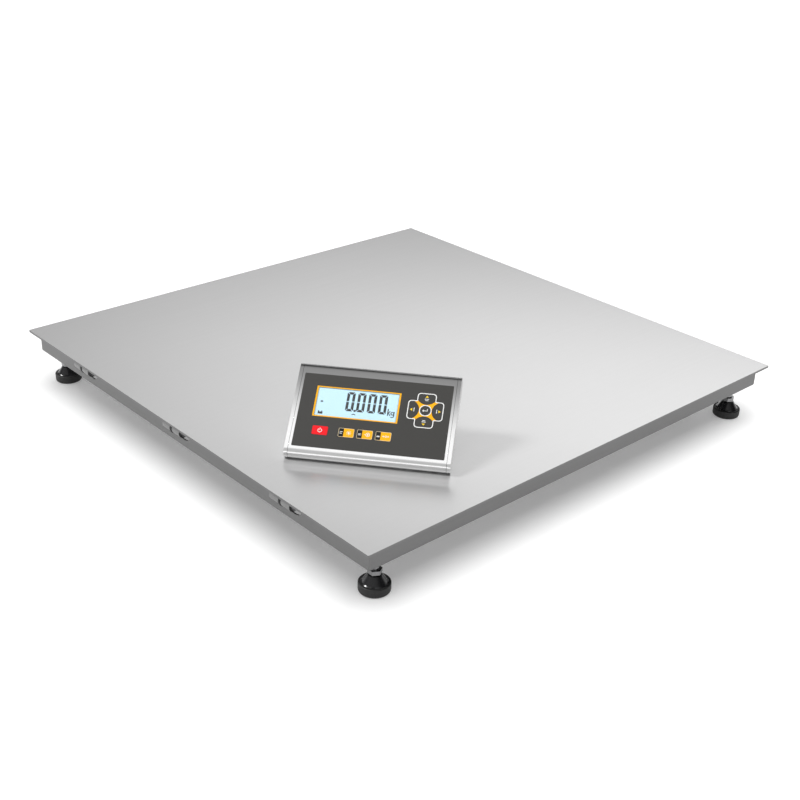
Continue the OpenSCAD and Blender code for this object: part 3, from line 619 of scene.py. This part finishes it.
def seven_segment_zero(left, low, width, height, stroke):
    """A zero of six bevelled segments with fine gaps between them."""
    gap, cut = 0.25, 1.1
    right, high, middle = left + width, low + height, low + height / 2
    top = [(left + cut + gap, high), (right - cut - gap, high), (right - stroke - gap, high - stroke),
           (left + stroke + gap, high - stroke)]
    bottom = [(left + cut + gap, low), (left + stroke + gap, low + stroke),
              (right - stroke - gap, low + stroke), (right - cut - gap, low)]
    shapes = [top, bottom]
    for outer, inner in ((left, left + stroke), (right, right - stroke)):
        shapes.append([(outer, high - cut - gap), (outer, middle + 2 * gap), (inner, middle + 4 * gap),
                       (inner, high - stroke - gap)])
        shapes.append([(outer, low + cut + gap), (outer, middle - 2 * gap), (inner, middle - 4 * gap),
                       (inner, low + stroke + gap)])
    return [[rounded(shape, [0.35] * len(shape), 3)] for shape in shapes]


PRINT_LEVEL = 0.02
PRINT_STEP = 0.05
DIGIT_W = 15.8
DIGIT_H = 41.8
DIGIT_STROKE = 5.2
DIGIT_PITCH = 21.15
DIGIT_LEFT = -21.6
DIGIT_LOW = -15.8


def print_display():
    """Orange rim printed on the window, a painted shadow inside the display's edges, and the reading on the
    display below it.
    """
    low, high = node_extent("display_window")
    centre = ((low.x + high.x) / 2, (low.y + high.y) / 2)
    width, height = high.x - low.x, high.y - low.y
    rim = [rectangle(centre, width, height, 1.0), rectangle(centre, width - 6.4, height - 4.4, 1.0)]
    printed("window_rim", [rim], PRINT_LEVEL, "orange")
    level = node_extent("lcd_panel")[1].z + PRINT_LEVEL
    # Painted shadow: a darker blue band inside the display's edges, widest at its right and top.
    printed("painted_display_shade", [[rectangle(centre, width - 5, height - 3, 1.0),
                               rectangle((centre[0] - 0.6, centre[1] - 0.5),
                                         width - 8.6, height - 6.2, 1.0)]],
            level, "painted_display_shadow")
    digits = []
    for k in range(4):
        left = centre[0] + DIGIT_LEFT + DIGIT_PITCH * k
        digits += seven_segment_zero(left, centre[1] + DIGIT_LOW, DIGIT_W, DIGIT_H, DIGIT_STROKE)
    digits.append([circle((centre[0] - 2.6, centre[1] - 13.8), 2.4, 20)])
    printed("reading", digits, level, "segment")
    unit_x, unit_y = centre[0] + 61.5, centre[1] - 17.0
    unit = [[bar((unit_x, unit_y), (unit_x, unit_y + 13.5), 2.0)],
            [bar((unit_x, unit_y + 4.6), (unit_x + 4.0, unit_y + 8.8), 1.8)],
            [bar((unit_x + 1.4, unit_y + 5.4), (unit_x + 4.4, unit_y + 0.2), 1.8)],
            [circle((unit_x + 9.0, unit_y + 4.8), 3.8, 28), circle((unit_x + 9.0, unit_y + 4.8), 1.9, 28)],
            [bar((unit_x + 12.1, unit_y + 8.4), (unit_x + 12.1, unit_y - 1.4), 1.8)],
            [bar((unit_x + 12.0, unit_y - 1.6), (unit_x + 9.8, unit_y - 3.4), 1.8)],
            [bar((unit_x + 9.8, unit_y - 3.4), (unit_x + 6.6, unit_y - 2.9), 1.8)]]
    printed("unit_mark", unit, level, "segment")
    marks = [[rounded([(centre[0] - 72.6, centre[1] + 0.6), (centre[0] - 69.0, centre[1] - 1.6),
                       (centre[0] - 65.4, centre[1] + 0.6), (centre[0] - 69.0, centre[1] + 2.8)],
                      [0.6] * 4, 3)],
             [rectangle((centre[0] - 68.4, centre[1] - 24.4), 9.4, 4.6, 0.5)],
             [rectangle((centre[0] - 71.6, centre[1] - 21.0), 2.0, 2.4, 0.3)],
             [rectangle((centre[0] - 65.4, centre[1] - 21.0), 2.0, 2.4, 0.3)],
             [bar((centre[0] - 6.6, centre[1] - 22.4), (centre[0] - 3.8, centre[1] - 21.2), 1.7)],
             [bar((centre[0] - 3.8, centre[1] - 21.2), (centre[0] - 0.6, centre[1] - 22.4), 1.7)]]
    printed("status_marks", marks, level, "segment")


def print_row_keys():
    """Symbols on the red power key and the three black and orange function keys."""
    low, high = node_extent("power_key")
    centre = ((low.x + high.x) / 2, (low.y + high.y) / 2)
    top = high.z + PRINT_LEVEL
    ring = arc(centre, 4.3, 118, 422, 36) + arc(centre, 3.1, 422, 118, 36)
    printed("power_symbol", [[ring], [bar((centre[0], centre[1] + 1.0), (centre[0], centre[1] + 5.0), 1.2)]],
            top, "white", "power_key")
    for k in range(3):
        key = "function_key_%d" % (k + 1)
        low, high = node_extent(key)
        centre = ((low.x + high.x) / 2, (low.y + high.y) / 2)
        width, height = high.x - low.x, high.y - low.y
        border = [rectangle(centre, width, height, 2.4), rectangle(centre, width - 1.3, height - 1.3, 2.0)]
        printed(key + "_border", [border], top, "cream", key)
        dark_w = 9.4
        printed(key + "_dark",
                [[rectangle((low.x + 0.65 + dark_w / 2, centre[1]), dark_w, height - 1.3, 1.2)]],
                top, "black", key)
        mark_x = low.x + 0.65 + dark_w / 2
        marks = [[bar((mark_x - 2.4, centre[1] + 1.6 - k), (mark_x + 2.4, centre[1] + 1.6 - k), 1.1)],
                 [bar((mark_x - 2.4, centre[1] - 1.8), (mark_x + 1.2 + k * 0.6, centre[1] - 1.8), 1.1)]]
        printed(key + "_mark", marks, top + PRINT_STEP, "white", key)
        symbol_x = low.x + 10.6 + (width - 11.2) / 2
        printed(key + "_symbol", function_symbol(k, symbol_x, centre[1]), top, "white", key)


def function_symbol(kind, x, y):
    """A lamp with rays, a page in a ring, or a zero between two arrows."""
    if kind == 0:
        rays = [[bar((x + 2.6 * math.cos(a), y + 2.6 * math.sin(a)),
                     (x + 4.4 * math.cos(a), y + 4.4 * math.sin(a)), 0.8)]
                for a in [math.tau * i / 8 for i in range(8)]]
        return rays + [[circle((x, y), 1.7, 20)]]
    if kind == 1:
        return [[circle((x + 1.0, y), 4.2, 28), circle((x + 1.0, y), 3.2, 28)],
                [rectangle((x + 1.0, y), 2.6, 3.4, 0.3)], [bar((x - 5.6, y), (x - 4.2, y), 0.9)]]
    arrows = []
    for side in (-1, 1):
        arrows.append([bar((x + side * 6.4, y), (x + side * 4.6, y), 0.9)])
        arrows.append([[(x + side * 2.7, y), (x + side * 4.7, y + 1.9 * side),
                        (x + side * 4.7, y - 1.9 * side)]])
    return arrows + [[circle((x, y), 2.0, 24), circle((x, y), 1.1, 24)]]


def print_pad():
    """White outline, orange star and symbols of the round navigation pad."""
    centre = node_centre("enter_key")
    c = (centre.x, centre.y)
    up = node_extent("up_key")
    right = node_extent("right_key")
    arm_w, arm_h = up[1].x - c[0], right[1].y - c[1]
    reach_x, reach_y = right[1].x - c[0], up[1].y - c[1]

    def cross(grow, convex, concave):
        w, h, rx, ry = arm_w + grow, arm_h + grow, reach_x + grow, reach_y + grow
        corners = [(w, ry), (w, h), (rx, h), (rx, -h), (w, -h), (w, -ry),
                   (-w, -ry), (-w, -h), (-rx, -h), (-rx, h), (-w, h), (-w, ry)]
        radii = [convex, concave, convex] * 4
        return moved(rounded(corners, radii), c)

    printed("pad_outline", [[cross(2.3, 7.5, 1.4), cross(0.55, 6.0, 2.6)]], PRINT_LEVEL, "white")
    lobes = {"tall": (20.3, up[0].y - c[1] - 0.35), "wide": (21.3, right[0].x - c[0] - 0.35)}
    star = []
    for turn, kind, half in ((0, "wide", arm_h), (90, "tall", arm_w),
                             (180, "wide", arm_h), (270, "tall", arm_w)):
        radius, near = lobes[kind]
        sweep = math.degrees(math.asin((half + 0.4) / radius))
        side = arc((near + radius, 0), radius, 180 + sweep, 180 - sweep, 16)
        star += moved(side, (0, 0), turn)
        diagonal = [(arm_w + 0.45, arm_h + 0.45), (-arm_w - 0.45, arm_h + 0.45),
                    (-arm_w - 0.45, -arm_h - 0.45), (arm_w + 0.45, -arm_h - 0.45)][turn // 90]
        star.append(diagonal)
    printed("pad_star", [[moved(star, c), circle(c, 11.9, 48)]], PRINT_LEVEL, "orange")
    printed("pad_ring", [[circle(c, 12.0), circle(c, 10.3)]], PRINT_LEVEL + PRINT_STEP, "white")
    top = up[1].z + PRINT_LEVEL
    for key, turn, reach in (("up_key", 0, reach_y), ("left_key", 90, reach_x),
                             ("down_key", 180, reach_y), ("right_key", 270, reach_x)):
        tip = [(-3.2, reach - 7.2), (3.2, reach - 7.2), (0, reach - 2.8)]
        printed(key + "_arrow", [[moved(tip, c, turn)]], top, "yellow", key)
        label = [[moved(bar((-3.4, reach - 10.6), (-1.6, reach - 10.6), 1.5), c, turn)],
                 [moved(bar((0.2, reach - 10.6), (3.4, reach - 10.6), 1.5), c, turn)]]
        if turn in (0, 180):
            label.append([moved(bar((-2.2, reach - 13.6), (2.6, reach - 13.6), 1.2), c, turn)])
        printed(key + "_label", label, top, "white", key)
    turn_arrow = [[bar((c[0] - 3.4, c[1] - 0.8), (c[0] + 3.8, c[1] - 0.8), 1.3)],
                  [bar((c[0] + 3.8, c[1] - 0.8), (c[0] + 3.8, c[1] + 3.0), 1.3)],
                  [moved([(-6.2, -0.8), (-2.6, -3.4), (-2.6, 1.8)], c)]]
    printed("enter_symbol", turn_arrow, top, "white", "enter_key")


def print_face():
    print_display()
    print_row_keys()
    print_pad()


# ---------------------------------------------------------------- the scene

bpy.context.scene.view_settings.view_transform = "Standard"
make_camera()
make_world()
key = sun_light("key", KEY_AZIMUTH, KEY_ELEVATION, KEY_STRENGTH, KEY_SOFTNESS)
wash = sun_light("floor_wash", 0, 90, WASH_STRENGTH, WASH_SOFTNESS)
floor = make_floor()
dress_nodes()
print_face()
light_only(wash, floor)
light_only(key, *[obj for obj in bpy.context.scene.objects if obj.type == "MESH" and obj is not floor])
